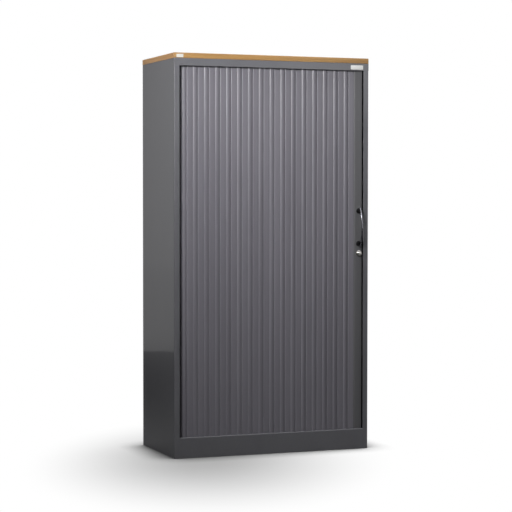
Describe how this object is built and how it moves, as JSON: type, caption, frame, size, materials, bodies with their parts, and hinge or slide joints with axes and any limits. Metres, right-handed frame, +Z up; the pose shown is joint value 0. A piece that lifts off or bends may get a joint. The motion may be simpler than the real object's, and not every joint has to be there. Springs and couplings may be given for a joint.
{
  "type": "tambour door cabinet",
  "caption": "Tall steel storage cabinet with a slatted curtain door that slides sideways into its left wall, a bow handle, a lock, a wood top and adjustable shelves.",
  "frame": {"origin": "On the floor, in the middle of the whole cabinet with its handle", "axes": "+Z up; -Y is the front with the curtain door; +X to the right of someone looking at the front"},
  "size_m": [1, 0.5314, 1.91],
  "materials": {
    "anthracite": "satin anthracite powder coat",
    "inner_grey": "matt grey powder coat",
    "beech": "beech laminate",
    "slat_plastic": "satin grey",
    "profile_lacquer": "satin grey lacquer",
    "black_plastic": "satin black",
    "black_seal": "matt black",
    "chrome": "polished",
    "zinc": "zinc plated",
    "bow_lacquer": "dark satin lacquer",
    "plate_white": "plain off-white"
  },
  "bodies": {
    "carcass": {"left_side_panel": "anthracite", "right_side_panel": "anthracite", "back_panel": "anthracite", "top_rail": "anthracite", "plinth": "anthracite", "wood_top": "beech", "roof_tray": "inner_grey", "base_tray": "inner_grey", "left_liner": "inner_grey", "right_liner": "inner_grey", "back_liner": "inner_grey", "inner_floor": "inner_grey", "shelf_1": "inner_grey", "shelf_2": "inner_grey", "shelf_3": "inner_grey", "shelf_4": "inner_grey", "shelf_bracket_left_1": "zinc", "shelf_bracket_left_2": "zinc", "shelf_bracket_left_3": "zinc", "shelf_bracket_left_4": "zinc", "shelf_bracket_right_1": "zinc", "shelf_bracket_right_2": "zinc", "shelf_bracket_right_3": "zinc", "shelf_bracket_right_4": "zinc", "levelling_foot_front_left": "zinc", "levelling_foot_front_right": "zinc", "levelling_foot_rear_left": "zinc", "levelling_foot_rear_right": "zinc", "top_track": "black_plastic", "bottom_track": "black_plastic", "closing_seal": "black_seal", "strike_plate": "zinc", "badge_plate": "plate_white"},
    "door": {"leading_profile": "profile_lacquer", "end_slat": "slat_plastic", "top_runner": "black_plastic", "bottom_runner": "black_plastic", "handle_bow": "bow_lacquer", "handle_post_upper": "black_plastic", "handle_post_lower": "black_plastic", "lock_barrel": "chrome"},
    "lock": {"lock_plug": "chrome", "lock_hook": "zinc"},
    "corner_slat": {"corner_slat": "slat_plastic"},
    "slat_01": {"slat_01": "slat_plastic"},
    "slat_02": {"slat_02": "slat_plastic"},
    "slat_03": {"slat_03": "slat_plastic"},
    "slat_04": {"slat_04": "slat_plastic"},
    "slat_05": {"slat_05": "slat_plastic"},
    "slat_06": {"slat_06": "slat_plastic"},
    "slat_07": {"slat_07": "slat_plastic"},
    "slat_08": {"slat_08": "slat_plastic"},
    "slat_09": {"slat_09": "slat_plastic"},
    "slat_10": {"slat_10": "slat_plastic"},
    "slat_11": {"slat_11": "slat_plastic"},
    "slat_12": {"slat_12": "slat_plastic"},
    "slat_13": {"slat_13": "slat_plastic"},
    "slat_14": {"slat_14": "slat_plastic"},
    "slat_15": {"slat_15": "slat_plastic"}
  },
  "joints": [
    {"name": "door_slide", "type": "slide", "parent": "carcass", "child": "door", "axis": [-1, 0, 0], "range_m": [0, 0.8967], "deforming": ["corner_slat", "slat_01", "slat_02", "slat_03", "slat_04", "slat_05", "slat_06", "slat_07", "slat_08", "slat_09", "slat_10", "slat_11", "slat_12", "slat_13", "slat_14", "slat_15"]},
    {"name": "lock_turn", "type": "hinge", "parent": "door", "child": "lock", "pos_m": [0.4545, -0.21725, 0.9585], "axis": [0, 1, 0], "range_deg": [0, 90]},
    {"name": "corner_slat_shift", "type": "slide", "parent": "carcass", "child": "corner_slat", "axis": [-0.3615, 0.9324, 0], "range_m": [0, 0.02628]},
    {"name": "slat_01_shift", "type": "slide", "parent": "carcass", "child": "slat_01", "axis": [-0.9381, 0.3464, 0], "range_m": [0, 0.06929]},
    {"name": "slat_02_shift", "type": "slide", "parent": "carcass", "child": "slat_02", "axis": [-0.9815, 0.1915, 0], "range_m": [0, 0.12274]},
    {"name": "slat_03_shift", "type": "slide", "parent": "carcass", "child": "slat_03", "axis": [-0.9916, 0.1296, 0], "range_m": [0, 0.17743]},
    {"name": "slat_04_shift", "type": "slide", "parent": "carcass", "child": "slat_04", "axis": [-0.9953, 0.0968, 0], "range_m": [0, 0.23249]},
    {"name": "slat_05_shift", "type": "slide", "parent": "carcass", "child": "slat_05", "axis": [-0.9971, 0.0765, 0], "range_m": [0, 0.28771]},
    {"name": "slat_06_shift", "type": "slide", "parent": "carcass", "child": "slat_06", "axis": [-0.998, 0.0627, 0], "range_m": [0, 0.34301]},
    {"name": "slat_07_shift", "type": "slide", "parent": "carcass", "child": "slat_07", "axis": [-0.9986, 0.0527, 0], "range_m": [0, 0.39835]},
    {"name": "slat_08_shift", "type": "slide", "parent": "carcass", "child": "slat_08", "axis": [-0.999, 0.0452, 0], "range_m": [0, 0.45372]},
    {"name": "slat_09_shift", "type": "slide", "parent": "carcass", "child": "slat_09", "axis": [-0.9992, 0.0393, 0], "range_m": [0, 0.50912]},
    {"name": "slat_10_shift", "type": "slide", "parent": "carcass", "child": "slat_10", "axis": [-0.9994, 0.0345, 0], "range_m": [0, 0.56453]},
    {"name": "slat_11_shift", "type": "slide", "parent": "carcass", "child": "slat_11", "axis": [-0.9995, 0.0306, 0], "range_m": [0, 0.61995]},
    {"name": "slat_12_shift", "type": "slide", "parent": "carcass", "child": "slat_12", "axis": [-0.9996, 0.0274, 0], "range_m": [0, 0.67538]},
    {"name": "slat_13_shift", "type": "slide", "parent": "carcass", "child": "slat_13", "axis": [-0.9997, 0.0246, 0], "range_m": [0, 0.73081]},
    {"name": "slat_14_shift", "type": "slide", "parent": "carcass", "child": "slat_14", "axis": [-0.9998, 0.0223, 0], "range_m": [0, 0.78625]},
    {"name": "slat_15_shift", "type": "slide", "parent": "carcass", "child": "slat_15", "axis": [-0.9998, 0.0202, 0], "range_m": [0, 0.84169]}
  ],
  "couplings": [
    {"joint": "corner_slat_shift", "follows": "door_slide", "ratio": 0.029305},
    {"joint": "slat_01_shift", "follows": "door_slide", "ratio": 0.077271},
    {"joint": "slat_02_shift", "follows": "door_slide", "ratio": 0.13688},
    {"joint": "slat_03_shift", "follows": "door_slide", "ratio": 0.19787},
    {"joint": "slat_04_shift", "follows": "door_slide", "ratio": 0.25927},
    {"joint": "slat_05_shift", "follows": "door_slide", "ratio": 0.32085},
    {"joint": "slat_06_shift", "follows": "door_slide", "ratio": 0.38252},
    {"joint": "slat_07_shift", "follows": "door_slide", "ratio": 0.44424},
    {"joint": "slat_08_shift", "follows": "door_slide", "ratio": 0.50599},
    {"joint": "slat_09_shift", "follows": "door_slide", "ratio": 0.56777},
    {"joint": "slat_10_shift", "follows": "door_slide", "ratio": 0.62956},
    {"joint": "slat_11_shift", "follows": "door_slide", "ratio": 0.69137},
    {"joint": "slat_12_shift", "follows": "door_slide", "ratio": 0.75318},
    {"joint": "slat_13_shift", "follows": "door_slide", "ratio": 0.815},
    {"joint": "slat_14_shift", "follows": "door_slide", "ratio": 0.87683},
    {"joint": "slat_15_shift", "follows": "door_slide", "ratio": 0.93866}
  ]
}
